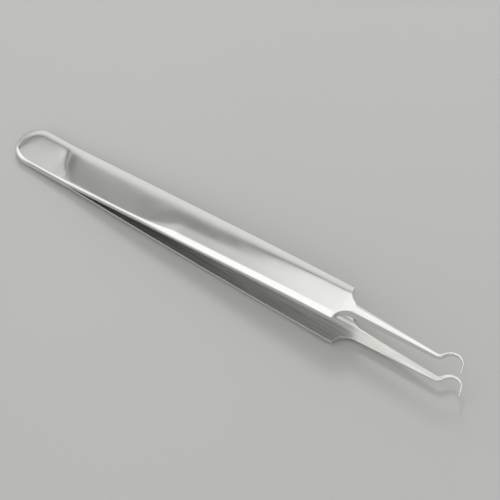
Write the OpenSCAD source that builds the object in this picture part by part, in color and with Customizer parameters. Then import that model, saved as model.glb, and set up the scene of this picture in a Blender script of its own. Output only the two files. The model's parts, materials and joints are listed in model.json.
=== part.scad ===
// Tweezers with fine hooked points: two spring-steel strips, spot welded together at the tail.
// Sizes are in millimetres. The tweezers lie at rest on their lower arm. +X runs from the tail
// to the points, +Z is up, and the origin is on the table under the middle of the tool.

/* [Strip outline] */
// Length of the broad part of a strip, from the tail end to the shoulder
body_length = 87; // [70:0.5:110]
// Width of the strip at its round tail and along the grip
body_width = 9.6; // [7:0.1:12]
// Distance from the tail at which the sides begin to draw in
draw_in_start = 32; // [26:1:60]
// Width of the strip at the shoulder, where the broad part ends
shoulder_width = 9.1; // [6:0.1:11]
// Length of the hollow round that leads from the shoulder into the neck
shoulder_run = 3.7; // [2:0.1:6]
// Width of the neck's inner face, where the slim shank begins
neck_width = 3; // [2:0.1:3.6]
// Length of the straight tapered shank
shank_length = 18.8; // [12:0.2:30]
// Width of the shank's inner face where the hook begins
shank_tip_width = 1.2; // [0.9:0.05:1.6]
// Share of the shank's width that its bevelled sides leave on the outer face
bevelled_share = 0.64; // [0.5:0.02:0.9]

/* [Hook] */
// Radius of the first bend, which leads outwards from the shank
lead_bend_radius = 1.35; // [1:0.05:2.5]
// Turn of the first bend in degrees
lead_bend_turn = 57; // [35:1:70]
// Length of the straight between the two bends
lead_length = 0.75; // [0.3:0.05:2]
// Radius of the hook's main bend, which turns back across the axis
hook_radius = 2.4; // [1.6:0.1:4]
// Turn of the main bend in degrees
hook_turn = 130; // [100:1:150]
// Length of the straight needle point
point_length = 1.85; // [1:0.05:4]
// Width of the needle point at its very end
point_width = 0.3; // [0.2:0.02:0.5]

/* [Thickness] */
// Thickness of one strip at the welded tail
tail_thickness = 1.1; // [0.8:0.05:1.4]
// Thickness of one strip along the grip
body_thickness = 1.2; // [1:0.05:1.6]
// Thickness of one strip at the shoulder
shoulder_thickness = 1.5; // [1.1:0.05:1.9]
// Thickness at the end of the shank
shank_tip_thickness = 0.8; // [0.5:0.05:1.2]
// Thickness at the end of the needle point
point_thickness = 0.45; // [0.3:0.05:0.7]
// Depth by which buffing rolls the outer edges of the broad part over
body_edge_drop = 0.6; // [0.1:0.05:0.7]
// Depth by which polishing rounds the outer edges of the neck and the shank
shank_edge_drop = 0.12; // [0.05:0.01:0.2]
// Share of the width that stays flat between the buffed borders
flat_share = 0.64; // [0.4:0.02:0.8]

/* [Spring] */
// Length of the flat tail on which the two strips lie together
weld_land = 11.5; // [10:0.5:16]
// Length of the bend in which a strip leaves the welded tail
bend_length = 3; // [2:0.5:5]
// Angle at which each arm spreads from the middle plane
splay_angle = 3.5; // [2.8:0.1:4.5]
// Length of the straight stretch before an arm bows back to parallel
straight_run = 31.5; // [20:0.5:45]
// Distance from the tail of the line about which an arm flexes
flex_station = 24; // [20:0.5:32]
// Clearance of the parting line between heel and arm
parting_gap = 0.02; // [0.01:0.01:0.05]

/* [Spot welds] */
// Number of weld nuggets along the tail
weld_count = 2; // [2:1:3]
// Distance of the outer nuggets from the two ends of the flat tail
weld_margin = 3.2; // [2.4:0.1:3.6]
// Diameter of a nugget
weld_diameter = 2.2; // [1.4:0.1:2.4]
// Height of a nugget across both strips
weld_height = 0.8; // [0.4:0.05:1]
// Clearance round a nugget
weld_clearance = 0.01; // [0.005:0.005:0.02]

/* [Hidden] */

// Steps of the lofts
tail_steps = 9;
heel_steps = 8;
grip_steps = 18;
round_steps = 9;
shank_steps = 5;
lead_bend_steps = 7;
hook_steps = 15;
point_steps = 3;
border_steps = 4;
tail_first_angle = 4;

// Power by which the buffed border falls faster and faster towards the edge
border_power = 3;

// Stations along a strip, measured from the tail end
tail_radius = body_width / 2;
bow_start = weld_land + bend_length + straight_run;
shank_start = body_length + shoulder_run;
shank_end = shank_start + shank_length;
heel_end = flex_station - parting_gap / 2;
arm_start = flex_station + parting_gap / 2;

// Blends between two values
function mix(a, b, share) = a + (b - a) * share;
function share_of(x, from, to) = min(1, max(0, (x - from) / (to - from)));
function smooth(share) = share * share * (3 - 2 * share);
function spread(from, to, steps) = [for (i = [0 : steps]) mix(from, to, i / steps)];
function after_first(list) = [for (i = [1 : len(list) - 1]) list[i]];

// Half of the gap between the two inner faces, as the sum of what each stretch of the arm adds
function bend_rise(x) = bend_length * pow(share_of(x, weld_land, weld_land + bend_length), 2) / 2;
function straight_rise(x) = straight_run * share_of(x, weld_land + bend_length, bow_start);
function bow_rise(share) = share - pow(share, 3) + pow(share, 4) / 2;
function half_gap(x) =
    tan(splay_angle) * (bend_rise(x) + straight_rise(x)
        + (shank_end - bow_start) * bow_rise(share_of(x, bow_start, shank_end)));

// Half-widths of the tail, the grip, the hollow round at the shoulder and the shank
function grip_half_width(x) =
    mix(body_width, shoulder_width, pow(share_of(x, draw_in_start, body_length), 2)) / 2;
function shank_half_width(x) =
    mix(neck_width, shank_tip_width, share_of(x, shank_start, shank_end)) / 2;
function round_half_width(angle) = mix(shoulder_width, neck_width, sin(angle)) / 2;
function round_outer_width(angle) = mix(shoulder_width, neck_width * bevelled_share, sin(angle)) / 2;

// Thickness and edge rounding along the straight part of a strip
function thickness(x) =
    tail_thickness
    + (body_thickness - tail_thickness) * smooth(share_of(x, weld_land, bow_start))
    + (shoulder_thickness - body_thickness) * smooth(share_of(x, bow_start, body_length))
    + (shank_tip_thickness - shoulder_thickness) * share_of(x, body_length, shank_end);
function edge_drop(x) =
    mix(body_edge_drop, shank_edge_drop, smooth(share_of(x, body_length - shoulder_run, body_length)));

// A station is [x, y, heading, half-width of the inner face, thickness, edge drop, share of the outer face]
function straight_station(x, half_width, outer = 1) =
    [x, 0, 0, half_width, thickness(x), edge_drop(x), outer];
function tail_station(angle) =
    straight_station(tail_radius * (1 - cos(angle)), tail_radius * sin(angle));
function grip_station(x) = straight_station(x, grip_half_width(x));
function round_station(angle) =
    straight_station(body_length + shoulder_run * (1 - cos(angle)), round_half_width(angle),
        round_outer_width(angle) / round_half_width(angle));
function shank_station(x) = straight_station(x, shank_half_width(x), bevelled_share);

// Frames [point, heading, distance] of the hook in plan, where a positive turn goes to the left
function turned(v, a) = [v[0] * cos(a) - v[1] * sin(a), v[0] * sin(a) + v[1] * cos(a)];
function after_arc(frame, radius, turn) =
    [frame[0] + turned([radius * sin(abs(turn)), sign(turn) * radius * (1 - cos(turn))], frame[1]),
     frame[1] + turn, frame[2] + radius * abs(turn) * PI / 180];
function after_line(frame, length) =
    [frame[0] + turned([length, 0], frame[1]), frame[1], frame[2] + length];
hook_start = [[shank_end, 0], 0, 0];
lead_end = after_line(after_arc(hook_start, lead_bend_radius, lead_bend_turn), lead_length);
point_start = after_arc(lead_end, hook_radius, -hook_turn);
point_end = after_line(point_start, point_length);
hook_frames = concat(
    [for (t = after_first(spread(0, lead_bend_turn, lead_bend_steps)))
        after_arc(hook_start, lead_bend_radius, t)],
    [for (t = spread(0, hook_turn, hook_steps)) after_arc(lead_end, hook_radius, -t)],
    [for (d = after_first(spread(0, point_length, point_steps))) after_line(point_start, d)]);

// The hook tapers from the shank to the needle point, quickly at first
function hook_station(frame) =
    let (share = frame[2] / point_end[2])
    [frame[0][0], frame[0][1], frame[1],
     mix(point_width, shank_tip_width, pow(1 - share, 2)) / 2,
     mix(shank_tip_thickness, point_thickness, share), shank_edge_drop, mix(bevelled_share, 1, share)];

heel_stations = concat(
    [for (a = spread(tail_first_angle, 90, tail_steps)) tail_station(a)],
    [for (x = after_first(spread(tail_radius, heel_end, heel_steps))) grip_station(x)]);
arm_stations = concat(
    [for (x = spread(arm_start, body_length, grip_steps)) grip_station(x)],
    [for (a = after_first(spread(0, 90, round_steps))) round_station(a)],
    [for (x = after_first(spread(shank_start, shank_end, shank_steps))) shank_station(x)],
    [for (frame = hook_frames) hook_station(frame)]);

// Places across a section as shares of the half-width: a flat middle between two buffed borders
border_shares = spread(flat_share, 1, border_steps);
across = concat([for (i = [border_steps : -1 : 0]) -border_shares[i]], [0], border_shares);

// Share of the way out to the edge: round the tail it is measured from the centre of the tail
function edge_share(station, share) =
    let (back = max(0, 1 - station[0] / tail_radius))
    norm([back, share * station[3] / tail_radius]) * (back > 0 ? 1 : tail_radius / station[3]);
function buffed(station, share) =
    station[5] * pow(share_of(edge_share(station, share), flat_share, 1), border_power);

// One section of the upper strip: its outer face from left to right, then its flat inner face
function on_section(station, share, height) =
    let (side = turned([0, station[3] * share], station[2]))
    [station[0] + side[0], station[1] + side[1], half_gap(station[0]) + height];
function section(station) = concat(
    [for (share = across)
        on_section(station, share * station[6], station[4] - buffed(station, share))],
    [on_section(station, 1, 0), on_section(station, -1, 0)]);

// Rest on a table: the line from the tail to the lowest point of the bowed lower arm is level
flat_start = tail_radius * (1 - flat_share);
rest_tilt = max([for (s = arm_stations)
    atan((half_gap(s[0]) + s[4] - tail_thickness) / (s[0] - flat_start))]);
function at_rest(p) =
    [p[0] * cos(rest_tilt) - p[2] * sin(rest_tilt), p[1], p[0] * sin(rest_tilt) + p[2] * cos(rest_tilt)];
strip_points = [for (s = concat(heel_stations, arm_stations)) each section(s)];
rest_points = [for (p = strip_points) each [at_rest(p), at_rest([p[0], p[1], -p[2]])]];
rest_x = [for (p = rest_points) p[0]];
rest_z = [for (p = rest_points) p[2]];
rest_shift = [-(min(rest_x) + max(rest_x)) / 2, 0, -min(rest_z)];

// Skin over a row of sections, closed at both ends
module loft(stations) {
    sections = [for (s = stations) section(s)];
    sides = len(sections[0]);
    last = (len(sections) - 1) * sides;
    walls = [for (i = [0 : len(sections) - 2], j = [0 : sides - 1])
        let (a = i * sides + j, b = i * sides + (j + 1) % sides)
        each [[a, b, a + sides], [b, b + sides, a + sides]]];
    tail_cap = [[for (j = [sides - 1 : -1 : 0]) j]];
    point_cap = [[for (j = [0 : sides - 1]) last + j]];
    polyhedron([for (s = sections) each s], concat(walls, tail_cap, point_cap));
}

module lying() {
    translate(rest_shift) rotate([0, -rest_tilt, 0]) children();
}

// Lens-shaped weld nugget that grows from the faying faces into both strips
module nugget(diameter, height) {
    cap_radius = (pow(diameter / 2, 2) + pow(height / 2, 2)) / height;
    rotate_extrude($fn = 48)
        intersection() {
            translate([0, height / 2 - cap_radius]) circle(cap_radius, $fn = 96);
            translate([0, cap_radius - height / 2]) circle(cap_radius, $fn = 96);
            translate([0, -height]) square([diameter, 2 * height]);
        }
}

module nuggets(clearance) {
    for (x = spread(weld_margin, weld_land - weld_margin, weld_count - 1))
        translate([x, 0, 0]) nugget(weld_diameter + 2 * clearance, weld_height + 2 * clearance);
}

module heel() {
    difference() {
        loft(heel_stations);
        nuggets(weld_clearance);
    }
}

module upper_heel() {
    color("gainsboro") lying() heel();
}

module lower_heel() {
    color("silver") lying() mirror([0, 0, 1]) heel();
}

module spot_welds() {
    color("dimgray") lying() nuggets(0);
}

module upper_arm() {
    color("gainsboro") lying() loft(arm_stations);
}

module lower_arm() {
    color("silver") lying() mirror([0, 0, 1]) loft(arm_stations);
}

upper_heel();
lower_heel();
spot_welds();
upper_arm();
lower_arm();
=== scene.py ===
# %% [markdown]
# # Tweezers with hooked points
# The tool is two strips of spring steel. They are welded together at the round tail, spread apart towards
# the front, and end in slim shanks with small sideways hooks. The measured solids come from the packed
# model, and this lesson dresses them: each strip is made again as one smooth mesh with finely broken edges,
# gets its polish, and is lit like a small product on a pale table.

# %% Load the measured model
import json
import math

import bmesh
import bpy
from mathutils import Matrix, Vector


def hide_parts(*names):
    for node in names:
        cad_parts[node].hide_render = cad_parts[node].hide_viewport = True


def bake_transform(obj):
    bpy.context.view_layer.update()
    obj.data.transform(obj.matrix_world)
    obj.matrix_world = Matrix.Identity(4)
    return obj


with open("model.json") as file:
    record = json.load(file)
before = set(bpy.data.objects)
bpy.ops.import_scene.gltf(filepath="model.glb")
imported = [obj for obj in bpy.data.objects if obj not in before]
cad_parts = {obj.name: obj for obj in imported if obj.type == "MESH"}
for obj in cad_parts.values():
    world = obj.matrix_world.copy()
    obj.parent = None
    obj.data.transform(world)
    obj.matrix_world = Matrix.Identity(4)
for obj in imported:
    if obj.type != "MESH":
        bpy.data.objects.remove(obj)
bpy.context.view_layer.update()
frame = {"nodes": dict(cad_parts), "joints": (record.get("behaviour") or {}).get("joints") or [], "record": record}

print("nodes:", sorted(frame["nodes"]))

# %% [markdown]
# ## A unit, a colour and a node
# A maker of tweezers thinks in millimetres and picks colours from a chart, while Blender wants metres and
# linear light. Two small helpers close that gap. The third one adds a node, whatever its kind: it sets the
# node's options, then gives each input a plain value or a link from another socket. With it a node tree
# reads from top to bottom like a recipe.

# %% Helpers for units, colours and nodes
MM = 0.001


def linear(hex_colour):
    """Turns an sRGB hex colour into the linear red, green, blue and alpha that a socket takes."""
    channels = [int(hex_colour[i:i + 2], 16) / 255 for i in (1, 3, 5)]
    light = [c / 12.92 if c <= 0.04045 else ((c + 0.055) / 1.055) ** 2.4 for c in channels]
    return (*light, 1.0)


def add_node(tree, kind, settings=None, inputs=None):
    """Adds a node, sets its options, and sets or links its inputs, which are named or counted."""
    node = tree.nodes.new(kind)
    for name, value in (settings or {}).items():
        setattr(node, name, value)
    for name, value in (inputs or {}).items():
        if isinstance(value, bpy.types.NodeSocket):
            tree.links.new(value, node.inputs[name])
        else:
            node.inputs[name].default_value = value
    return node


print("mid grey in linear light:", [round(c, 3) for c in linear("#808080")])

# %% [markdown]
# ## The strip as a maker would draw it
# On the bench a strip starts as flat spring stock. It is blanked to its outline, bent up a little just in
# front of the weld so that the arms spread, bowed back in the front half, and the shank is drawn out and
# turned into its hook. These sizes are the ones that drive the solids, so the smooth mesh and the solids stay
# one shape. What the later steps add to them is finish, a fraction of a millimetre deep.

# %% Sizes of the strip in millimetres
body_length = 87.0
body_width = 9.6
draw_in_start = 32.0
shoulder_width = 9.1
shoulder_run = 3.7
neck_width = 3.0
shank_length = 18.8
shank_tip_width = 1.2
bevelled_share = 0.64
lead_bend_radius = 1.35
lead_bend_turn = math.radians(57)
lead_length = 0.75
hook_radius = 2.4
hook_turn = math.radians(130)
point_length = 1.85
point_width = 0.3
tail_thickness = 1.1
body_thickness = 1.2
shoulder_thickness = 1.5
shank_tip_thickness = 0.8
point_thickness = 0.45
shank_edge_drop = 0.12
weld_land = 11.5
bend_length = 3.0
splay_angle = math.radians(3.5)
straight_run = 31.5
flex_station = 24.0

tail_radius = body_width / 2
bow_start = weld_land + bend_length + straight_run
shank_start = body_length + shoulder_run
shank_end = shank_start + shank_length
print(f"bow from {bow_start:.1f} mm, shank from {shank_start:.1f} to {shank_end:.1f} mm")

# %% Helpers for rules, and the gap between the strips
# The weld's bend isn't square to the strip: it comes earlier on the far side and later on the near side.
far_bend_lead = 0.8
near_bend_lag = 3.4
skew_fade_start = 18.0
skew_fade_end = 42.0


def share_of(value, first, last):
    """How far a value has come from the first to the last, held between 0 and 1."""
    return min(1.0, max(0.0, (value - first) / (last - first)))


def mix(first, last, share):
    """The value at this share of the way from the first to the last."""
    return first + (last - first) * share


def smooth(share):
    """A share that starts and ends gently."""
    return share * share * (3 - 2 * share)


def half_gap(x):
    """Height of a strip's inner face over the plane between the two strips."""
    bend = share_of(x, weld_land, weld_land + bend_length)
    straight = share_of(x, weld_land + bend_length, bow_start)
    bow = share_of(x, bow_start, shank_end)
    rise = bend_length * bend ** 2 / 2 + straight_run * straight
    rise += (shank_end - bow_start) * (bow - bow ** 3 + bow ** 4 / 2)
    return math.tan(splay_angle) * rise


def skewed_rise(x, shift):
    """How much higher the strip lies on a side whose bend comes earlier by this shift. Further along the
    arm the twist fades out."""
    left = 1 - smooth(share_of(x, skew_fade_start, skew_fade_end))
    return half_gap(x + shift * left) - half_gap(x)


print(f"room between the points: {2 * half_gap(shank_end):.2f} mm")

# %% Rules for the width, the thickness and the edges
# A roll is a power, rolled is a share of the full rolled edge, and spread is a factor on its width.
tip_roll = 9.0
tip_roll_end = 3.5
broad_roll_start = 31.0
broad_roll_end = 47.0
tip_rolled = 1.0
shoulder_rolled = 0.6
shoulder_roll_run = 8.0
tail_spread = 4.4
spread_full = 2.0
spread_fade_start = 2.4
spread_fade_end = 7.5


def thickness(x):
    """Thickness of the strip, which swells towards the shoulder and is drawn out along the shank."""
    swell = (body_thickness - tail_thickness) * smooth(share_of(x, weld_land, bow_start))
    swell += (shoulder_thickness - body_thickness) * smooth(share_of(x, bow_start, body_length))
    drawn = (shank_tip_thickness - shoulder_thickness) * share_of(x, body_length, shank_end)
    return tail_thickness + swell + drawn


def shank_drop(x):
    """How far the shank's own border falls away: nothing on the grip, all of it in front of the fillets."""
    return shank_edge_drop * smooth(share_of(x, body_length + shoulder_run / 2, shank_start))


def edge_roll(x, tail, rear, front):
    """How tightly the border falls away: a high power keeps the face flat until close to the edge. From the
    tip of the tail it goes over to the tail's sides, the rear of the grip and the front of the grip."""
    roll = mix(tip_roll, tail, smooth(share_of(x, 0, tip_roll_end)))
    roll = mix(roll, rear, smooth(share_of(x, weld_land, weld_land + 2 * bend_length)))
    return mix(roll, front, smooth(share_of(x, broad_roll_start, broad_roll_end)))


def rolled_over(x, along_grip):
    """How much of an edge is rolled over: the same on both sides at the tip of the tail, then along_grip,
    and less of it on the last stretch before the shoulder."""
    behind = mix(tip_rolled, along_grip, smooth(share_of(x, 0, tail_radius)))
    return behind * mix(1, shoulder_rolled, smooth(share_of(x, body_length - shoulder_roll_run, body_length)))


def roll_spread(x):
    """How many times wider the rolled edge is: the buffing wheel went on round the near side of the tail."""
    grown = smooth(share_of(x, 0, spread_full)) - smooth(share_of(x, spread_fade_start, spread_fade_end))
    return mix(1, tail_spread, grown)


def grip_half_width(x):
    """Half the width of the grip, which draws in a little towards the shoulder."""
    return mix(body_width, shoulder_width, share_of(x, draw_in_start, body_length) ** 2) / 2


print(f"shoulder {2 * grip_half_width(body_length):.1f} mm wide, {thickness(body_length):.1f} mm thick")

# %% [markdown]
# ## Stations along the strip
# The strip is a loft: one cross-section that changes as it travels. A station says where the section stands
# and how large it is there. Its spine is the point on the centre line, its side vector reaches to the left
# edge, and its rear vector lets the section lean. Round the tail every section leans from one centre, like
# the spokes of a half wheel, so the border runs round the tail without a seam. Before the shoulder the
# sections lean forwards until one points straight into the corner, as a mitre does. The buffed border is
# counted from the grip's full width, so the fillets of the shoulder cut through it and keep crisp edges. The
# shank's sides are ground on a slant, which leaves its outer face narrower than its inner one.

# %% A station and what it carries
# Where a section reaches less far than this, its edges shrink along with it.
edge_limit = 0.45
# The far and the near side of the strip were not buffed alike, so each has its own rolls.
far_rolls = {"tail": 10.0, "rear": 6.5, "front": 7.0}
near_rolls = {"tail": 50.0, "rear": 40.0, "front": 3.5}
far_rolled = 0.9
near_rolled = 1.0
stations = []


def add_station(centre, edge_x, half, heading=0.0, thick=None, roll_left=0.0, bevel=0.0):
    """Adds the section from the centre line to an edge point. half is the half width of the inner face there,
    thick gives the thickness where the rule along the strip doesn't, roll_left says how much rolled edge is
    left, and bevel says which share of the width the outer face loses to the slanting sides."""
    lean = edge_x - centre.x
    reach = math.hypot(lean, half)
    far_rise = skewed_rise(centre.x, far_bend_lead)
    near_rise = skewed_rise(centre.x, -near_bend_lag)
    thick_here = thickness(centre.x) if thick is None else thick
    thick_rise = thickness(edge_x) - thickness(centre.x) if thick is None else 0.0
    stations.append({
        "spine": Vector((centre.x, centre.y, half_gap(centre.x))) * MM,
        "side": Vector((-math.sin(heading), math.cos(heading), 0)) * half * MM,
        "rear": Vector((lean, 0, half_gap(edge_x) - half_gap(centre.x))) * MM,
        "bevel": bevel,
        "skew": (far_rise - near_rise) / 2 * MM,
        "skew_bow": (far_rise + near_rise) / 2 * MM,
        "thickness": thick_here * MM,
        "thickness_rise": thick_rise * MM,
        "shank_drop": shank_drop(edge_x) * MM,
        "width_share": half / grip_half_width(edge_x) if edge_x > tail_radius else 1.0,
        "far_roll": edge_roll(edge_x, **far_rolls),
        "near_roll": edge_roll(edge_x, **near_rolls),
        "far_rolled": rolled_over(edge_x, far_rolled) * roll_left,
        "near_rolled": rolled_over(edge_x, near_rolled) * roll_left,
        "near_spread": roll_spread(edge_x) - 1,
        # The share that takes the inner faces from the painted shade of the grip to the painted light of the
        # shank.
        "dressed": smooth(share_of(edge_x, body_length, shank_start)),
        "edge_scale": min(1.0, reach / edge_limit),
        "edge_share": 1 / (max(reach, edge_limit) * MM),
    })


print("powers of the border's fall, far and near:", far_rolls, near_rolls)

# %% Stations round the tail and along the grip
tail_steps = 30
grip_step = 0.7
bend_step = 0.25
bend_margin = 1.0
lean_run = 14.0
corner_lean = 3.4
corner_radius = 0.16

for step in range(tail_steps):
    turn = math.radians(90) * step / tail_steps
    edge_x = tail_radius * (1 - math.cos(turn))
    add_station(Vector((tail_radius, 0)), edge_x, tail_radius * math.sin(turn), roll_left=1.0)

x = tail_radius
while x < body_length - corner_radius:
    lean = corner_lean * smooth(share_of(x, body_length - lean_run, body_length))
    add_station(Vector((x - lean, 0)), x, grip_half_width(x), roll_left=1.0)
    in_bend = weld_land - bend_margin < x < weld_land + bend_length + bend_margin
    x += bend_step if in_bend else grip_step
print(len(stations), "stations from the tail to the shoulder")

# %% Stations round the shoulder corner, down the fillet and along the shank
corner_steps = 6
fillet_steps = 30
shank_steps = 36
corner_half = shoulder_width / 2 - corner_radius

for step in range(corner_steps + 1):
    share = step / corner_steps
    turn = math.radians(90) * share
    edge_x = body_length - corner_radius * (1 - math.sin(turn))
    centre_x = body_length - corner_lean + corner_radius * share
    half = corner_half + corner_radius * math.cos(turn)
    add_station(Vector((centre_x, 0)), edge_x, half, roll_left=1 - share)

for step in range(1, fillet_steps + 1):
    share = step / fillet_steps
    turn = math.radians(90) * share
    edge_x = body_length + shoulder_run * (1 - math.cos(turn))
    centre_x = mix(body_length - corner_lean + corner_radius, shank_start, share)
    half = mix(corner_half, neck_width / 2, math.sin(turn))
    outer_half = mix(corner_half, neck_width / 2 * bevelled_share, math.sin(turn))
    add_station(Vector((centre_x, 0)), edge_x, half, bevel=1 - outer_half / half)

for step in range(1, shank_steps + 1):
    share = step / shank_steps
    x = mix(shank_start, shank_end, share)
    add_station(Vector((x, 0)), x, mix(neck_width, shank_tip_width, share) / 2, bevel=1 - bevelled_share)
print(len(stations), "stations up to the hook")

# %% [markdown]
# ## The hook
# The point is drawn out fine, led to the left in a short bend, and turned back in a larger one, so that it
# comes at its work from the side. Bent wire is arcs and straights, so the stations walk along four legs: each
# has a length and a turn. The last few stations shrink the section to nothing along a quarter circle, which
# closes the point with a round end.

# %% Stations along the hook
hook_step = 0.12
point_round = 0.16
point_steps = 6
hook_legs = [
    (lead_bend_radius * lead_bend_turn, lead_bend_turn),
    (lead_length, 0.0),
    (hook_radius * hook_turn, -hook_turn),
    (point_length - point_round, 0.0),
]
hook_length = sum(length for length, turn in hook_legs) + point_round


def hook_station(place, heading, travelled, fullness=1.0):
    """Adds a section of the hook. fullness below 1 shrinks it towards its own middle."""
    share = travelled / hook_length
    half = mix(point_width, shank_tip_width, (1 - share) ** 2) / 2
    thick = mix(shank_tip_thickness, point_thickness, share)
    bevel = (1 - bevelled_share) * (1 - share)
    add_station(place, place.x, half * fullness, heading, thick * fullness, bevel=bevel)
    stations[-1]["spine"].z += thick * (1 - fullness) / 2 * MM
    stations[-1]["shank_drop"] *= fullness


place, heading, travelled = Vector((shank_end, 0)), 0.0, 0.0
for length, turn in hook_legs:
    count = math.ceil(length / hook_step)
    bend = turn / count
    chord = length / count * (math.sin(bend / 2) / (bend / 2) if bend else 1)
    for step in range(count):
        middle = heading + bend / 2
        place = place + Vector((math.cos(middle), math.sin(middle))) * chord
        heading += bend
        travelled += length / count
        hook_station(place, heading, travelled)

ahead = Vector((math.cos(heading), math.sin(heading)))
for step in range(1, point_steps + 1):
    turn = math.radians(90) * step / point_steps
    forward = point_round * math.sin(turn)
    hook_station(place + ahead * forward, heading, travelled + forward, max(0.0, math.cos(turn)))
print(f"{len(stations)} stations in all, hook {hook_length:.2f} mm long")

# %% [markdown]
# ## The cross-section
# Across the strip the outer face has a flat middle and a border that the buffing wheel has drawn down, an
# outer edge, an upright wall, a broken inner edge and a flat inner face. The outer edge comes in two kinds:
# a crisp one with a small radius, and one that the wheel has rolled over through part of the thickness.
# Each point of the section says how far across it is, how far it stands in from the edge, how much of the
# thickness it rises to and how much it is lifted. Insets and lifts are real sizes, so the edges keep their
# radius while the strip changes its width.

# %% The two kinds of outer edge
outer_edge_radius = 0.1
border_slope = math.radians(32)
edge_support = 0.05
arc_points = 6
roll_width = 0.22
roll_depth = 0.4
roll_first = math.radians(20)
roll_last = math.radians(72)

crisp_edge = []
rolled_edge = []
for i in range(arc_points + 1):
    turn = mix(border_slope, math.radians(90), i / arc_points)
    lift = outer_edge_radius * (math.cos(turn) - math.cos(border_slope))
    crisp_edge.append((outer_edge_radius * (1 - math.sin(turn)), 1.0, lift))
    turn = mix(roll_first, roll_last, i / arc_points)
    across = (math.sin(roll_last) - math.sin(turn)) / (math.sin(roll_last) - math.sin(roll_first))
    fallen = (math.cos(roll_first) - math.cos(turn)) / (math.cos(roll_first) - math.cos(roll_last))
    rolled_edge.append((roll_width * across, 1 - roll_depth * fallen, 0.0))
for edge_kind in (crisp_edge, rolled_edge):
    inset, rise, lift = edge_kind[-1]
    edge_kind.append((inset, rise, lift - edge_support))
print(f"a crisp edge of {outer_edge_radius} mm, and one rolled over {roll_width} mm wide")

# %% Points of the cross-section
inner_edge_radius = 0.06
face_points = 16
face_crowding = 1.7
inner_points = 4
face_inset = inner_edge_radius + edge_support


def section_point(across, inset, rise, lift=0.0, drop_inset=None, edge_wear=0.0, inner_face=0.0):
    """A point of the section: shares are bare, and insets and lifts are in millimetres."""
    return {
        "across": across,
        "inset": inset * MM,
        "drop_inset": (inset if drop_inset is None else drop_inset) * MM,
        "rise": rise,
        "lift": lift * MM,
        "edge_wear": edge_wear,
        "inner_face": inner_face,
        "near_side": 0.0,
    }


def half_section(edge_kind):
    """The left half of the section, from the outer face round an edge of this kind to the inner face."""
    border_inset = edge_kind[0][0]
    points = []
    for i in range(1, face_points):
        across = 1 - (1 - i / face_points) ** face_crowding
        points.append(section_point(across, border_inset * across, 1))
    for inset, rise, lift in edge_kind:
        points.append(section_point(1, inset, rise, lift, border_inset, edge_wear=1))
    points.append(section_point(1, 0, 0, face_inset))
    for i in range(arc_points + 1):
        turn = math.radians(90) * i / arc_points
        inset = inner_edge_radius * (1 - math.cos(turn))
        lift = inner_edge_radius * (1 - math.sin(turn))
        last = float(i == arc_points)
        points.append(section_point(1, inset, 0, lift, edge_wear=1 - last, inner_face=last))
    for i in range(inner_points, 0, -1):
        share = i / inner_points
        points.append(section_point(share, face_inset * share, 0, inner_face=1))
    return points


def with_roll(crisp, rolled):
    """A crisp point that also carries what changes where the edge is rolled over."""
    names = ("inset", "drop_inset", "rise", "lift")
    return {**crisp, **{f"roll_{name}": rolled[name] - crisp[name] for name in names}}


def mirrored(point):
    """The same point on the right half of the section."""
    names = ("across", "inset", "drop_inset", "roll_inset", "roll_drop_inset")
    return {**point, **{name: -point[name] for name in names}, "near_side": 1.0}


outer_middle, inner_middle = section_point(0, 0, 1), section_point(0, 0, 0, inner_face=1)
left_half = [with_roll(*pair) for pair in zip(half_section(crisp_edge), half_section(rolled_edge))]
section = [with_roll(outer_middle, outer_middle), *left_half, with_roll(inner_middle, inner_middle)]
section += [mirrored(point) for point in reversed(left_half)]
print(len(section), "points round the section")

# %% [markdown]
# ## The loft as Geometry Nodes
# A strip could be modelled by hand and subdivided, but its shape follows one rule from tail to point, so a
# node tree sweeps it. Two lines of points carry the numbers: the rail has the stations and the section has
# its points. Curve to Mesh makes the grid of faces and hands every vertex the attributes of both lines.
# Set Position then works out where the vertex belongs. Doubled points at the tail and at the tip are merged,
# which closes the mesh, and the strip is laid down as the frame says.

# %% Lines of points that carry attributes
def attribute_line(name, rows, closed):
    """Makes a line or a loop of points, with an attribute for each name in the rows."""
    count = len(rows)
    if closed:
        angles = [2 * math.pi * i / count for i in range(count)]
        points = [(math.cos(a) * MM, math.sin(a) * MM, 0) for a in angles]
    else:
        points = [(i * MM, 0, 0) for i in range(count)]
    edges = [(i, (i + 1) % count) for i in range(count if closed else count - 1)]
    mesh = bpy.data.meshes.new(name)
    mesh.from_pydata(points, edges, [])
    for key, sample in rows[0].items():
        is_vector = isinstance(sample, Vector)
        layer = mesh.attributes.new(key, "FLOAT_VECTOR" if is_vector else "FLOAT", "POINT")
        for item, row in zip(layer.data, rows):
            setattr(item, "vector" if is_vector else "value", row[key])
    line = bpy.data.objects.new(name, mesh)
    bpy.context.scene.collection.objects.link(line)
    return line


section_line = attribute_line("strip_section", section, closed=True)
print("section attributes:", list(section[0]))

# %% The node tree of the loft
loft = bpy.data.node_groups.new("strip_loft", "GeometryNodeTree")
sockets = {}
for name, kind in (
    ("Rail", "NodeSocketGeometry"),
    ("Section", "NodeSocketObject"),
    ("Crown", "NodeSocketFloat"),
    ("Border drop", "NodeSocketFloat"),
    ("Shank roll", "NodeSocketFloat"),
    ("Dip depth", "NodeSocketFloat"),
    ("Dip place", "NodeSocketFloat"),
    ("Dip run", "NodeSocketFloat"),
    ("Dip skew", "NodeSocketFloat"),
    ("Merge distance", "NodeSocketFloat"),
    ("Facing", "NodeSocketVector"),
    ("Rest turn", "NodeSocketVector"),
    ("Rest place", "NodeSocketVector"),
    ("Outer finish", "NodeSocketMaterial"),
    ("Inner finish", "NodeSocketMaterial"),
):
    sockets[name] = loft.interface.new_socket(name, in_out="INPUT", socket_type=kind).identifier
loft.interface.new_socket("Strip", in_out="OUTPUT", socket_type="NodeSocketGeometry")
given = add_node(loft, "NodeGroupInput").outputs

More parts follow.
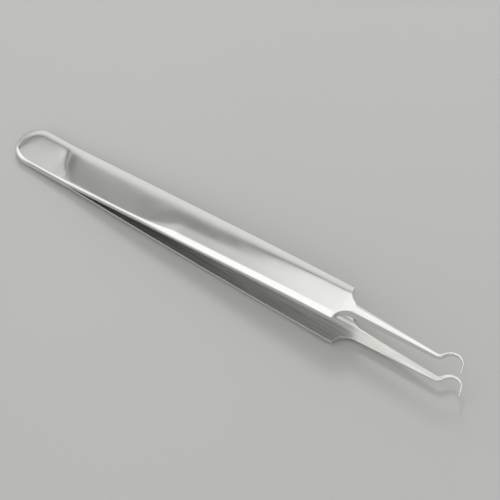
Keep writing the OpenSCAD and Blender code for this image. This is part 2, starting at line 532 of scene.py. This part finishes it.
rail_curve = add_node(loft, "GeometryNodeMeshToCurve", None, {"Mesh": given["Rail"]})
section_info = add_node(loft, "GeometryNodeObjectInfo", None, {"Object": given["Section"]})
section_curve = add_node(loft, "GeometryNodeMeshToCurve", None, {"Mesh": section_info.outputs["Geometry"]})
swept = add_node(loft, "GeometryNodeCurveToMesh", None, {
    "Curve": rail_curve.outputs[0],
    "Profile Curve": section_curve.outputs[0],
    "Fill Caps": False,
})

read = {}
for name, sample in {**stations[0], **section[0]}.items():
    kind = "FLOAT_VECTOR" if isinstance(sample, Vector) else "FLOAT"
    node = add_node(loft, "GeometryNodeInputNamedAttribute", {"data_type": kind}, {"Name": name})
    read[name] = node.outputs["Attribute"]
print(len(sockets), "named inputs,", len(read), "attributes read")

# %% How far across each vertex of the loft stands
read.update({name: given[name] for name in sockets})
for name in ("spine", "side", "rear"):
    axes = add_node(loft, "ShaderNodeSeparateXYZ", None, {"Vector": read[name]}).outputs
    read.update({f"{name}_x": axes["X"], f"{name}_y": axes["Y"], f"{name}_z": axes["Z"]})
# A line of the recipe names its result, its operation and the terms that it takes.
recipe = [
    ("roll_change", "SUBTRACT", "near_roll", "far_roll"),
    ("roll", "MULTIPLY_ADD", "roll_change", "near_side", "far_roll"),
    ("rolled_change", "SUBTRACT", "near_rolled", "far_rolled"),
    ("rolled", "MULTIPLY_ADD", "rolled_change", "near_side", "far_rolled"),
    ("spread", "MULTIPLY_ADD", "near_spread", "near_side", 1.0),
    ("rolled_across", "MULTIPLY", "rolled", "spread"),
    ("inset_here", "MULTIPLY_ADD", "roll_inset", "rolled_across", "inset"),
    ("inset_share", "MULTIPLY", "inset_here", "edge_share"),
    ("share", "SUBTRACT", "across", "inset_share"),
    ("distance", "ABSOLUTE", "share"),
    ("rise_here", "MULTIPLY_ADD", "roll_rise", "rolled", "rise"),
    ("slant", "MULTIPLY", "rise_here", "bevel"),
    ("width_left", "SUBTRACT", 1.0, "slant"),
    ("side_share", "MULTIPLY", "share", "width_left"),
    ("rear_place_x", "MULTIPLY_ADD", "rear_x", "distance", "spine_x"),
    ("place_x", "MULTIPLY_ADD", "side_x", "side_share", "rear_place_x"),
    ("place_y", "MULTIPLY_ADD", "side_y", "side_share", "spine_y"),
    ("rear_place_z", "MULTIPLY_ADD", "rear_z", "distance", "spine_z"),
]
print(len(recipe), "lines for the place across")

# %% How high each vertex of the loft stands
wholly_inner = 0.999
recipe += [
    ("drop_inset_here", "MULTIPLY_ADD", "roll_drop_inset", "rolled_across", "drop_inset"),
    ("drop_inset_share", "MULTIPLY", "drop_inset_here", "edge_share"),
    ("drop_share", "SUBTRACT", "across", "drop_inset_share"),
    ("drop_distance", "ABSOLUTE", "drop_share"),
    ("lateral", "MULTIPLY", "drop_distance", "width_share"),
    ("border", "POWER", "lateral", "roll"),
    ("border_fall", "MULTIPLY", "border", "Border drop"),
    ("shank_border", "POWER", "drop_distance", "Shank roll"),
    ("shank_fall", "MULTIPLY", "shank_border", "shank_drop"),
    ("bulge", "MULTIPLY", "lateral", "lateral"),
    ("crown_fall", "MULTIPLY", "bulge", "Crown"),
    ("dip_line", "MULTIPLY_ADD", "place_y", "Dip skew", "place_x"),
    ("dip_from", "SUBTRACT", "dip_line", "Dip place"),
    ("dip_runs", "DIVIDE", "dip_from", "Dip run"),
    ("dip_square", "MULTIPLY", "dip_runs", "dip_runs"),
    ("dip_fade", "MULTIPLY", "dip_square", -1.0),
    ("dip_bell", "EXPONENT", "dip_fade"),
    ("dip_fall", "MULTIPLY", "dip_bell", "Dip depth"),
    ("full_height", "MULTIPLY_ADD", "thickness_rise", "distance", "thickness"),
    ("bordered", "SUBTRACT", "full_height", "border_fall"),
    ("rounded", "SUBTRACT", "bordered", "shank_fall"),
    ("crowned", "SUBTRACT", "rounded", "crown_fall"),
    ("outer_height", "SUBTRACT", "crowned", "dip_fall"),
    ("lift_here", "MULTIPLY_ADD", "roll_lift", "rolled", "lift"),
    ("edge_lift", "MULTIPLY", "lift_here", "edge_scale"),
    ("edge_height", "MULTIPLY_ADD", "rise_here", "outer_height", "edge_lift"),
    ("skew_slope", "MULTIPLY_ADD", "skew_bow", "share", "skew"),
    ("height", "MULTIPLY_ADD", "skew_slope", "share", "edge_height"),
    ("place_z", "ADD", "rear_place_z", "height"),
    ("on_inner_face", "GREATER_THAN", "inner_face", wholly_inner),
]
for result, operation, *terms in recipe:
    inputs = {i: read.get(term, term) for i, term in enumerate(terms)}
    read[result] = add_node(loft, "ShaderNodeMath", {"operation": operation}, inputs).outputs[0]
raised = add_node(loft, "ShaderNodeCombineXYZ", None, {
    "X": read["place_x"], "Y": read["place_y"], "Z": read["place_z"],
})
print(len(recipe), "lines in all,", len(loft.nodes), "nodes so far")

# %% Close the strip, lay it down and give it its finishes
placed = add_node(loft, "GeometryNodeSetPosition", None, {
    "Geometry": swept.outputs[0],
    "Position": raised.outputs[0],
})
merged = add_node(loft, "GeometryNodeMergeByDistance", None, {
    "Geometry": placed.outputs[0],
    "Distance": given["Merge distance"],
})
laid = add_node(loft, "GeometryNodeTransform", None, {
    "Geometry": merged.outputs[0],
    "Translation": given["Rest place"],
    "Rotation": given["Rest turn"],
    "Scale": given["Facing"],
})
real = add_node(loft, "GeometryNodeRealizeInstances", None, {"Geometry": laid.outputs[0]})
polished_all = add_node(loft, "GeometryNodeSetMaterial", None, {
    "Geometry": real.outputs[0],
    "Material": given["Outer finish"],
})
finished = add_node(loft, "GeometryNodeSetMaterial", None, {
    "Geometry": polished_all.outputs[0],
    "Selection": read["on_inner_face"],
    "Material": given["Inner finish"],
})
add_node(loft, "NodeGroupOutput", None, {"Strip": finished.outputs[0]})
print("loft tree:", len(loft.nodes), "nodes,", len(loft.links), "links")

# %% [markdown]
# ## Buffed stainless steel
# The outer faces, edges and walls are stainless spring steel that went over a buffing wheel: a bright metal
# whose reflections are a little soft, and bend where the wheel has left the face slightly wavy. Fine lines
# run along the strip, and handling leaves faint dull patches. A metal's look is its reflections, so the
# colour hardly varies, and the work goes into roughness and a very low bump.

# %% Material for the buffed faces
wave_length = 9.0
wave_depth = 0.007
line_spacing = 0.45
line_length = 14.0
line_depth = 0.0003
patch_size = 7.0
edge_dulling = 0.06


def new_material(name):
    """Makes a material with an empty node tree, and returns it with its tree."""
    material = bpy.data.materials.new(name)
    material.use_nodes = True
    material.node_tree.nodes.clear()
    return material, material.node_tree


buffed_steel, tree = new_material("stainless_steel_buffed")
place_on_piece = add_node(tree, "ShaderNodeTexCoord").outputs["Object"]
# The real polishing lines are about 0.03 mm apart: they are drawn coarser so that they show.
stretched = add_node(tree, "ShaderNodeMapping", None, {
    "Vector": place_on_piece,
    "Scale": (1 / (line_length * MM), 1 / (line_spacing * MM), 1 / (line_spacing * MM)),
})
lines = add_node(tree, "ShaderNodeTexNoise", None, {
    "Vector": stretched.outputs[0], "Scale": 1.0, "Detail": 3.0, "Roughness": 0.6,
})
waves = add_node(tree, "ShaderNodeTexNoise", None, {
    "Vector": place_on_piece, "Scale": 1 / (wave_length * MM), "Detail": 1.0, "Roughness": 0.4,
})
patches = add_node(tree, "ShaderNodeTexNoise", None, {
    "Vector": place_on_piece, "Scale": 1 / (patch_size * MM), "Detail": 4.0, "Roughness": 0.55,
})
worn = add_node(tree, "ShaderNodeAttribute", {"attribute_name": "edge_wear"})
# A Mix node takes two colours at its inputs 6 and 7, and gives the mixed one at its output 2.
tint = add_node(tree, "ShaderNodeMix", {"data_type": "RGBA"}, {
    "Factor": patches.outputs["Fac"], 6: linear("#E4E4E0"), 7: linear("#DEDFDE"),
})
dulling = add_node(tree, "ShaderNodeMapRange", None, {
    "Value": patches.outputs["Fac"], "From Min": 0.35, "From Max": 0.7, "To Min": 0.07, "To Max": 0.11,
})
rubbed = add_node(tree, "ShaderNodeMath", {"operation": "MULTIPLY_ADD"}, {
    0: worn.outputs["Fac"], 1: edge_dulling, 2: dulling.outputs[0],
})
wave_bump = add_node(tree, "ShaderNodeBump", None, {
    "Height": waves.outputs["Fac"], "Distance": wave_depth * MM, "Strength": 1.0,
})
line_bump = add_node(tree, "ShaderNodeBump", None, {
    "Height": lines.outputs["Fac"], "Distance": line_depth * MM, "Strength": 1.0,
    "Normal": wave_bump.outputs[0],
})
steel = add_node(tree, "ShaderNodeBsdfPrincipled", None, {
    "Base Color": tint.outputs[2],
    "Metallic": 1.0,
    "Roughness": rubbed.outputs[0],
    "Normal": line_bump.outputs[0],
})
add_node(tree, "ShaderNodeOutputMaterial", None, {"Surface": steel.outputs[0]})
print(buffed_steel.name, "waves of", wave_length, "mm, lines every", line_spacing, "mm")

# %% [markdown]
# ## Satin inner faces
# The buffing wheel doesn't reach between the arms once they are welded. The inner faces keep the finish of
# the rolled and belt-ground stock: a satin grey with streaks along the strip, which blurs reflections along
# and across into a soft sheen. Stretched noise drives the grey, the roughness and the bump together, so a
# streak that is darker is also rougher. The grey of the grip is painted darker as painted shade between the
# arms, and in front of the shoulder it goes over into a brighter grey on the shank as painted light.

# %% Material for the inner faces
streak_spacing = 0.6
streak_length = 22.0
streak_depth = 0.002

satin_steel, tree = new_material("stainless_steel_belt_ground")
place_on_piece = add_node(tree, "ShaderNodeTexCoord").outputs["Object"]
# Belt lines are about 0.05 mm apart on the real stock: these are bundles of them, coarse enough to show.
stretched = add_node(tree, "ShaderNodeMapping", None, {
    "Vector": place_on_piece,
    "Scale": (1 / (streak_length * MM), 1 / (streak_spacing * MM), 1 / (streak_spacing * MM)),
})
streaks = add_node(tree, "ShaderNodeTexNoise", None, {
    "Vector": stretched.outputs[0], "Scale": 1.0, "Detail": 5.0, "Roughness": 0.65,
})
streaked = add_node(tree, "ShaderNodeMapRange", None, {
    "Value": streaks.outputs["Fac"], "From Min": 0.33, "From Max": 0.67,
})
# The grip's darker grey is painted shade between the arms, and the shank's brighter grey is painted light. Both
# carry the real streaks.
grip_grey_painted_shade = add_node(tree, "ShaderNodeMix", {"data_type": "RGBA"}, {
    "Factor": streaked.outputs[0], 6: linear("#B2B2B2"), 7: linear("#ECECEB"),
})
shank_grey_painted_light = add_node(tree, "ShaderNodeMix", {"data_type": "RGBA"}, {
    "Factor": streaked.outputs[0], 6: linear("#DEDDD8"), 7: linear("#F4F3EE"),
})
# Over the fillets the inner faces go from the painted shade of the grip to the painted light of the shank.
dressed = add_node(tree, "ShaderNodeAttribute", {"attribute_name": "dressed"})
tint = add_node(tree, "ShaderNodeMix", {"data_type": "RGBA"}, {
    "Factor": dressed.outputs["Fac"], 6: grip_grey_painted_shade.outputs[2], 7: shank_grey_painted_light.outputs[2],
})
ground = add_node(tree, "ShaderNodeMapRange", None, {
    "Value": streaked.outputs[0], "To Min": 0.36, "To Max": 0.24,
})
streak_bump = add_node(tree, "ShaderNodeBump", None, {
    "Height": streaks.outputs["Fac"], "Distance": streak_depth * MM, "Strength": 1.0,
})
steel = add_node(tree, "ShaderNodeBsdfPrincipled", None, {
    "Base Color": tint.outputs[2],
    "Metallic": 1.0,
    "Roughness": ground.outputs[0],
    "Normal": streak_bump.outputs[0],
})
add_node(tree, "ShaderNodeOutputMaterial", None, {"Surface": steel.outputs[0]})
print(satin_steel.name, "streaks every", streak_spacing, "mm")

# %% [markdown]
# ## Laying the strips down
# The frame says how the tool rests: the tail face leans back by the rest tilt, and each arm's flex line sits
# on its inner face at the flex station. Both strips come from the same tree, and the lower one is turned
# over by a facing of minus one. A turned-over mesh has its faces inside out, so its normals are worked out
# again from the closed shape.

# %% Where the frame puts the strips
tail_mount = next(m for m in frame["record"]["mounts"] if m["name"] == "upper_tail_face")
rest_tilt = -math.asin(tail_mount["axis"][0])
flex_places = {joint["child"]: Vector(joint["pos_m"]) for joint in frame["joints"]}


def rest_point(x, height):
    """A point of the strip's own plane as it lies at rest, without its place on the table."""
    turned_x = x * math.cos(rest_tilt) - height * math.sin(rest_tilt)
    turned_z = x * math.sin(rest_tilt) + height * math.cos(rest_tilt)
    return Vector((turned_x, 0, turned_z)) * MM


rest_place = flex_places["upper_arm"] - rest_point(flex_station, half_gap(flex_station))
print(f"rest tilt {math.degrees(rest_tilt):.3f} degrees, tail at {rest_place.x / MM:.3f} mm")

# %% Make both strips
# The wheel dipped a little where the strip bends up from the weld, along a line that runs askew.
crown = 0.05
border_drop = 0.35
shank_roll = 5.0
buffing_dip = 0.035
buffing_dip_place = 13.5
buffing_dip_run = 1.4
buffing_dip_skew = 0.72
merge_distance = 0.0005
# Besides edge wear, the mesh keeps the share that paints shade on the grip's inner faces and light on the shank's.
kept_attributes = {"edge_wear", "dressed"}


def make_strip(name, facing):
    """Sweeps one strip and leaves it as a plain closed mesh at its place on the table."""
    strip = attribute_line(name, stations, closed=False)
    sweep = strip.modifiers.new("sweep", "NODES")
    sweep.node_group = loft
    for socket, value in {
        "Section": section_line,
        "Crown": crown * MM,
        "Border drop": border_drop * MM,
        "Shank roll": shank_roll,
        "Dip depth": buffing_dip * MM,
        "Dip place": buffing_dip_place * MM,
        "Dip run": buffing_dip_run * MM,
        "Dip skew": buffing_dip_skew,
        "Merge distance": merge_distance * MM,
        "Facing": (1.0, 1.0, float(facing)),
        "Rest turn": (0.0, -rest_tilt, 0.0),
        "Rest place": tuple(rest_place),
        "Outer finish": buffed_steel,
        "Inner finish": satin_steel,
    }.items():
        sweep[sockets[socket]] = value
    graph = bpy.context.evaluated_depsgraph_get()
    mesh = bpy.data.meshes.new_from_object(strip.evaluated_get(graph), depsgraph=graph)
    strip.modifiers.clear()
    strip.data = mesh
    for attribute in {**stations[0], **section[0]}:
        if attribute not in kept_attributes and attribute in mesh.attributes:
            mesh.attributes.remove(mesh.attributes[attribute])
    shell = bmesh.new()
    shell.from_mesh(mesh)
    bmesh.ops.recalc_face_normals(shell, faces=shell.faces)
    open_edges = sum(not edge.is_manifold for edge in shell.edges)
    volume = shell.calc_volume(signed=True) / MM ** 3
    shell.to_mesh(mesh)
    shell.free()
    mesh.shade_smooth()
    print(f"{name}: {len(mesh.polygons)} faces, {open_edges} open edges, {volume:.1f} cubic mm")
    return strip


upper_strip = make_strip("upper_strip", 1)
lower_strip = make_strip("lower_strip", -1)
bpy.data.objects.remove(section_line)

# %% [markdown]
# ## The strips in place of the solids
# On the real tool each arm is one piece with its half of the tail and bends like a leaf spring. The frame
# stands in for that with a hinge. The smooth strips take the place of the heel and arm solids, which are
# hidden, and each strip's placement is baked into its mesh.

# %% Hide the solids that the strips replace
for strip, arm, heel in ((upper_strip, "upper_arm", "upper_heel"), (lower_strip, "lower_arm", "lower_heel")):
    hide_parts(heel, arm)
    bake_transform(strip)

# %% [markdown]
# ## Weld nuggets
# Two spot welds hold the tails together. They are metal that was molten for a moment between the strips, so
# they lie inside and only show in a cut. Their solids stay as they are and get the dull grey of cast steel,
# with the straw tint that heat leaves.

# %% Material for the weld nuggets
grain_size = 0.25
grain_depth = 0.02

weld_metal, tree = new_material("weld_nugget_steel")
place_on_piece = add_node(tree, "ShaderNodeTexCoord").outputs["Object"]
grain = add_node(tree, "ShaderNodeTexNoise", None, {
    "Vector": place_on_piece, "Scale": 1 / (grain_size * MM), "Detail": 4.0, "Roughness": 0.6,
})
heat = add_node(tree, "ShaderNodeMix", {"data_type": "RGBA"}, {
    "Factor": grain.outputs["Fac"], 6: linear("#8C8A86"), 7: linear("#A79B86"),
})
cast = add_node(tree, "ShaderNodeMapRange", None, {
    "Value": grain.outputs["Fac"], "From Min": 0.3, "From Max": 0.7, "To Min": 0.45, "To Max": 0.65,
})
grain_bump = add_node(tree, "ShaderNodeBump", None, {
    "Height": grain.outputs["Fac"], "Distance": grain_depth * MM, "Strength": 1.0,
})
steel = add_node(tree, "ShaderNodeBsdfPrincipled", None, {
    "Base Color": heat.outputs[2],
    "Metallic": 1.0,
    "Roughness": cast.outputs[0],
    "Normal": grain_bump.outputs[0],
})
add_node(tree, "ShaderNodeOutputMaterial", None, {"Surface": steel.outputs[0]})
welds = frame["nodes"]["spot_welds"]
welds.data.materials.clear()
welds.data.materials.append(weld_metal)
print(welds.name, "wears", weld_metal.name)

# %% [markdown]
# ## The table
# A plain pale table carries the tool and its shadow. It is a large flat sheet at the height of the frame's
# lowest point, matt, and a little uneven in tone so that it doesn't look like paper cut out.

# %% Floor
floor_half = 8000.0
cloud_size = 111.1

floor_paint, tree = new_material("pale_table")
place_on_piece = add_node(tree, "ShaderNodeTexCoord").outputs["Object"]
cloud = add_node(tree, "ShaderNodeTexNoise", None, {
    "Vector": place_on_piece, "Scale": 1 / (cloud_size * MM), "Detail": 2.0,
})
tone = add_node(tree, "ShaderNodeMix", {"data_type": "RGBA"}, {
    "Factor": cloud.outputs["Fac"], 6: linear("#B8B8B6"), 7: linear("#BCBCBA"),
})
paint = add_node(tree, "ShaderNodeBsdfPrincipled", None, {
    "Base Color": tone.outputs[2],
    "Roughness": 0.7,
    "Specular IOR Level": 0.2,
})
add_node(tree, "ShaderNodeOutputMaterial", None, {"Surface": paint.outputs[0]})
floor_mesh = bpy.data.meshes.new("floor")
corners = [Vector((x, y, 0)) * floor_half * MM for x, y in ((-1, -1), (1, -1), (1, 1), (-1, 1))]
floor_mesh.from_pydata(corners, [], [(0, 1, 2, 3)])
floor_mesh.materials.append(floor_paint)
floor = bpy.data.objects.new("floor", floor_mesh)
bpy.context.scene.collection.objects.link(floor)
print("floor of", 2 * floor_half * MM, "m at height 0")

# %% [markdown]
# ## The studio
# Polished metal shows its surroundings, so the light is drawn as a room. A wide soft box with round corners
# hangs over the far side of the table, its cloth fading to the left. A second one hangs above and a third
# over the near side, and smaller ones stand left and right. Round them are grey walls and a lamp on the left.
# A dark gap along the far box and a dark flag on its left draw the dark lines that make steel look like
# steel. The room is painted on the world as seen from the table: dividing a direction by its height gives
# the spot where it meets a ceiling one unit up, and there a soft box is a rectangle.

# %% World coordinates on the ceiling
box_turn = math.radians(17)
box_left = -0.585
box_far = 0.825
box_round = 0.14
lowest_height = 0.05

scene = bpy.context.scene
scene.view_settings.view_transform = "Standard"
studio = bpy.data.worlds.new("studio")
studio.use_nodes = True
scene.world = studio
tree = studio.node_tree
tree.nodes.clear()
# Parts are those of the direction, straight ones lie on the ceiling, slanted ones turn with the far box.
direction = add_node(tree, "ShaderNodeTexCoord").outputs["Generated"]
parts = add_node(tree, "ShaderNodeSeparateXYZ", None, {"Vector": direction}).outputs
upness = add_node(tree, "ShaderNodeMath", {"operation": "MAXIMUM"}, {0: parts["Z"], 1: lowest_height})
spot = add_node(tree, "ShaderNodeVectorMath", {"operation": "DIVIDE"}, {0: direction, 1: upness.outputs[0]})
turned = add_node(tree, "ShaderNodeMapping", None, {
    "Vector": spot.outputs[0], "Rotation": (0, 0, -box_turn),
})
straight = add_node(tree, "ShaderNodeSeparateXYZ", None, {"Vector": spot.outputs[0]}).outputs
slanted = add_node(tree, "ShaderNodeSeparateXYZ", None, {"Vector": turned.outputs[0]}).outputs
past_left = add_node(tree, "ShaderNodeMath", {"operation": "SUBTRACT"}, {
    0: box_left + box_round, 1: slanted["X"],
})
past_far = add_node(tree, "ShaderNodeMath", {"operation": "SUBTRACT"}, {
    0: slanted["Y"], 1: box_far - box_round,
})
past = add_node(tree, "ShaderNodeCombineXYZ", None, {"X": past_left.outputs[0], "Y": past_far.outputs[0]})
beyond = add_node(tree, "ShaderNodeVectorMath", {"operation": "MAXIMUM"}, {0: past.outputs[0], 1: (0, 0, 0)})
past_corner = add_node(tree, "ShaderNodeVectorMath", {"operation": "LENGTH"}, {0: beyond.outputs[0]})
from_corner = past_corner.outputs["Value"]
print("the ceiling is turned by", round(math.degrees(box_turn)), "degrees for the far box")

# %% Greys of the walls and the boxes
# A side and a depth fence a panel in, from 0 outside to 1 inside. A paint or a cloth says how bright it is.
soft_edge = 0.014
gap_full = 0.02
gap_end = 0.045
top_left = -0.705
near_end = 0.03
greys = {}
for name, along, stops in (
    ("haze", parts["Z"], [(0.0, 0.5), (0.4, 0.32), (0.8, 0.22)]),
    ("right paint", parts["Z"], [(0.0, 0.4), (0.5, 0.45), (0.62, 0.85), (0.75, 1.05)]),
    ("right wall, side", parts["X"], [(0.3, 0), (0.5, 1)]),
    ("right wall, depth", parts["Y"], [(-0.1, 0), (0.1, 1)]),
    ("left wall, side", slanted["X"], [(-0.62, 1), (-0.56, 0)]),
    ("left wall, depth", slanted["Y"], [(-0.6, 0), (-0.4, 1)]),
    ("left paint", slanted["Y"], [
        (0.3, 1.15), (0.5, 1.05), (0.6, 0.84), (0.68, 0.43), (0.79, 0.43), (0.87, 0.56),
    ]),
    ("far wall, side", parts["X"], [(-0.75, 0), (-0.6, 1), (-0.1, 1), (0.0, 0)]),
    ("far wall, depth", slanted["Y"], [(0.86, 0), (0.87, 1)]),
    ("far paint", slanted["Y"], [(0.86, 0.5), (0.9, 0.66), (0.95, 0.78), (1.2, 0.88), (9.0, 0.8)]),
    ("gap, side", slanted["Y"], [(0.75, 0), (0.8, 1)]),
    ("gap, depth", from_corner, [(box_round + gap_full, 1), (box_round + gap_end, 0)]),
    ("flag, side", slanted["X"], [(-0.8, 0), (-0.72, 1), (-0.675, 1), (-0.65, 0)]),
    ("flag, depth", slanted["Y"], [(0.6, 0), (0.66, 1), (0.9, 1), (1.0, 0)]),
    ("left lamp, side", slanted["X"], [(-0.82, 1), (-0.72, 0)]),
    ("left lamp, depth", slanted["Y"], [(0.7, 1), (0.78, 0)]),
    ("left cloth", parts["Z"], [(0.0, 0.6), (0.3, 1.0), (0.6, 1.25)]),
    ("left box, side", parts["X"], [(-0.86, 1), (-0.74, 0)]),
    ("left box, depth", parts["Y"], [(-0.6, 0), (-0.3, 1), (0.22, 1), (0.34, 0)]),
    ("right cloth", parts["Z"], [(0.0, 0.2), (0.3, 0.4), (0.45, 0.95), (0.7, 1.2)]),
    ("right box, side", parts["X"], [(0.05, 0), (0.25, 1), (0.8, 1), (0.95, 0)]),
    ("right box, depth", parts["Y"], [(-0.95, 0), (-0.8, 1), (-0.3, 1), (-0.1, 0)]),
    ("far cloth", slanted["X"], [
        (box_left, 0.6), (-0.5, 0.74), (-0.43, 0.92), (-0.355, 1.05),
        (-0.26, 1.12), (-0.18, 1.25), (0.2, 1.3),
    ]),
    ("far box, side", slanted["X"], [(-0.1, 1), (-0.05, 0)]),
    ("far box, depth", from_corner, [(box_round - soft_edge, 1), (box_round + soft_edge, 0)]),
    ("top cloth", straight["X"], [(-0.45, 1.3), (-0.25, 1.0), (-0.05, 0.75), (0.2, 0.5), (0.6, 0.3)]),
    ("top box, side", straight["X"], [
        (top_left - soft_edge, 0), (top_left + soft_edge, 1), (0.5, 1), (0.6, 0),
    ]),
    ("top box, depth", straight["Y"], [(-0.15, 0), (-0.1, 1), (0.3, 1), (0.33, 0)]),
    ("near cloth", straight["Y"], [(-3.0, 1.1), (-1.0, 1.12), (-0.5, 1.22), (-0.15, 1.3)]),
    ("near box, side", parts["X"], [(-0.9, 0), (-0.75, 1), (-0.45, 1), (-0.15, 0)]),
    ("near box, depth", straight["Y"], [(near_end - soft_edge, 1), (near_end + soft_edge, 0)]),
):
    first, last = stops[0][0], stops[-1][0]
    scaled = add_node(tree, "ShaderNodeMapRange", None, {"Value": along, "From Min": first, "From Max": last})
    ramp = add_node(tree, "ShaderNodeValToRGB", None, {"Fac": scaled.outputs[0]})
    while len(ramp.color_ramp.elements) < len(stops):
        ramp.color_ramp.elements.new(0.5)
    for element, (at, grey) in zip(ramp.color_ramp.elements, stops):
        element.position = (at - first) / (last - first)
        element.color = (grey, grey, grey, 1)
    greys[name] = ramp.outputs[0]
print(len(greys), "ramps of grey")

# %% The room put together
# Haze fills the room, and each panel hangs in front of those before it. Set to plain numbers, a Mix node
# takes its factor at input 0 and the numbers at inputs 2 and 3.
seen = greys["haze"]
for panel, cloth in (
    ("right wall", greys["right paint"]),
    ("left wall", greys["left paint"]),
    ("far wall", greys["far paint"]),
    ("gap", 0.22),
    ("flag", 0.25),
    ("left lamp", 1.0),
    ("left box", greys["left cloth"]),
    ("right box", greys["right cloth"]),
    ("far box", greys["far cloth"]),
    ("top box", greys["top cloth"]),
    ("near box", greys["near cloth"]),
):
    inside = add_node(tree, "ShaderNodeMath", {"operation": "MULTIPLY"}, {
        0: greys[f"{panel}, side"], 1: greys[f"{panel}, depth"],
    })
    mixed = add_node(tree, "ShaderNodeMix", {"data_type": "FLOAT"}, {0: inside.outputs[0], 2: seen, 3: cloth})
    seen = mixed.outputs[0]
light = add_node(tree, "ShaderNodeBackground", None, {"Color": seen, "Strength": 1.0})
add_node(tree, "ShaderNodeOutputWorld", None, {"Surface": light.outputs[0]})
print("room of", len(tree.nodes), "nodes")

# %% [markdown]
# ## The key light
# The room alone lights the table so evenly that the tool would hardly cast a shadow. One small lamp adds it.
# Reflections leave the lamp out, because the room already holds everything that the steel should show.

# %% Key light
key_size = 140.0
key_distance = 500.0
key_power = 0.6
key_towards = Vector((-0.33, 0.46, 0.82)).normalized()

key_data = bpy.data.lights.new("key", "AREA")
key_data.size = key_size * MM
key_data.energy = key_power
key = bpy.data.objects.new("key", key_data)
key.location = key_towards * key_distance * MM
key.rotation_euler = key_towards.to_track_quat("Z", "Y").to_euler()
key.visible_glossy = False
scene.collection.objects.link(key)
print(f"key light of {key_power} W at {[round(c, 2) for c in key.location]} m")

# %% [markdown]
# ## The camera
# The straight edges and their vanishing give the camera away: it looks down at 55 degrees, turned 35 degrees
# from square across the strip, through a long lens from about 41 cm. A square picture on a 36 mm sensor turns
# that into a focal length.

# %% Camera
image_size = 500
focal_pixels = 1900
camera_elevation = math.radians(55.315)
camera_turn = math.radians(35.304)
camera_distance = 410.9
camera_aim = Vector((1.072, 5.613, 0))
sensor_width = 36
nearest_seen = 10.0

camera_data = bpy.data.cameras.new("camera")
camera_data.sensor_width = sensor_width
camera_data.lens = focal_pixels / image_size * sensor_width
camera_data.clip_start = nearest_seen * MM
camera = bpy.data.objects.new("camera", camera_data)
scene.collection.objects.link(camera)
towards_camera = Vector((
    math.cos(camera_elevation) * math.sin(camera_turn),
    -math.cos(camera_elevation) * math.cos(camera_turn),
    math.sin(camera_elevation),
))
camera.location = (camera_aim + towards_camera * camera_distance) * MM
camera.rotation_euler = (-towards_camera).to_track_quat("-Z", "Y").to_euler()
scene.camera = camera
print(f"camera at {[round(c, 3) for c in camera.location]} m, lens {camera_data.lens:.1f} mm")
